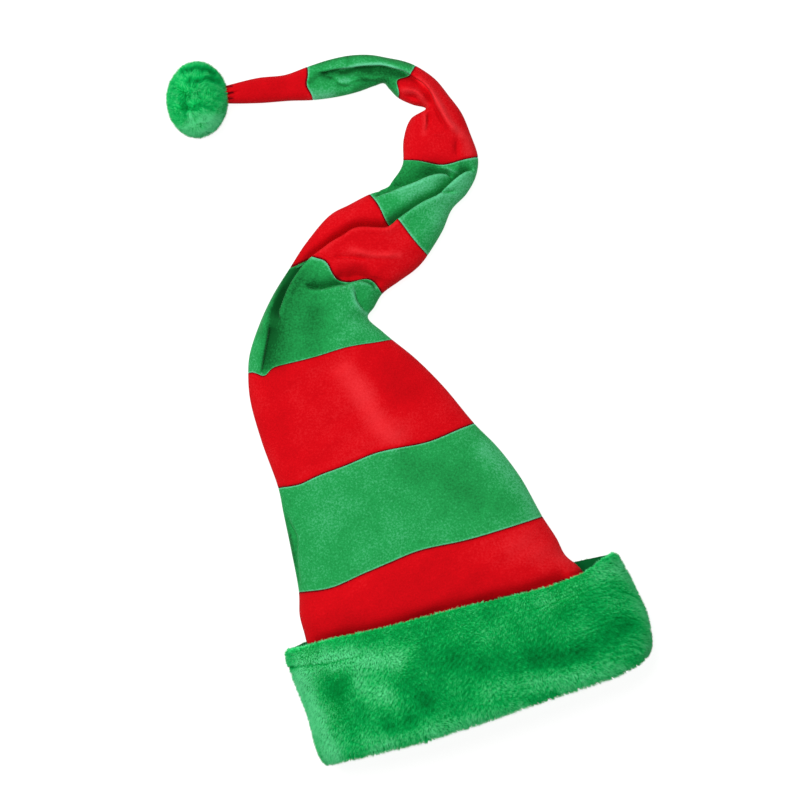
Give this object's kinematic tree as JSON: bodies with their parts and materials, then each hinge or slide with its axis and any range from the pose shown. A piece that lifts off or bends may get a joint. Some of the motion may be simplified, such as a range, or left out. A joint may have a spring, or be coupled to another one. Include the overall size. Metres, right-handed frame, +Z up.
{
  "type": "striped elf hat",
  "caption": "Long striped velour stocking hat lying flat, with a turned-up plush cuff round its open mouth, a folded-over tail and a plush pompom sewn on the tip",
  "frame": {"origin": "the middle of the hat's box on the table it lies on, at z = 0", "axes": "+Y runs from the mouth of the cuff toward the pompom, +X runs along the cuff, +Z points up from the table"},
  "size_m": [0.3045, 0.6098, 0.08],
  "materials": {
    "green_plush": "soft short-pile plush",
    "red_velour": "short-nap velour",
    "green_velour": "short-nap velour"
  },
  "bodies": {
    "root": {"cuff": "green_plush", "band_1_red": "red_velour", "band_2_green": "green_velour", "band_3_red": "red_velour", "band_4_green": "green_velour", "band_5_red": "red_velour", "band_6_green": "green_velour", "band_7_red": "red_velour", "band_8_green": "green_velour", "band_9_red": "red_velour", "pompom": "green_plush"}
  },
  "joints": []
}
